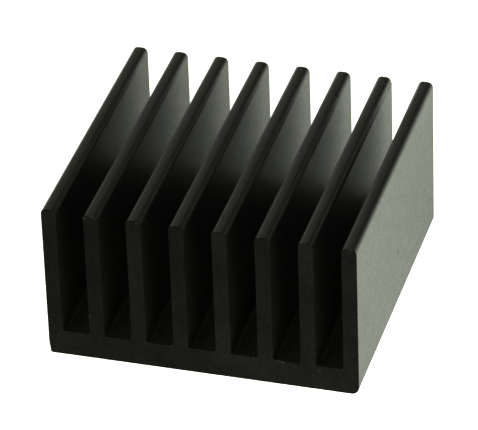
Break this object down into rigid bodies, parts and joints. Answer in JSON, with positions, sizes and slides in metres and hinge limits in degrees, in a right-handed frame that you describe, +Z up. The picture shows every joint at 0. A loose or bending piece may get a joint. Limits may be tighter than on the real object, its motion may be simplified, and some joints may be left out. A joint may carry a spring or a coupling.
{
  "type": "extruded heat sink",
  "caption": "Black anodised aluminium heat sink, a flat base plate with straight upright fins, for cooling a chip or power module.",
  "frame": {"origin": "middle of the flat underside", "axes": "+X across the fins, +Y along the fins and the extrusion, +Z up from the underside to the fin tips"},
  "size_m": [0.028, 0.0274, 0.015],
  "materials": {
    "anodised_aluminium": "black anodised, satin, with sawn ends"
  },
  "bodies": {
    "root": {"heat_sink": "anodised_aluminium"}
  },
  "joints": []
}
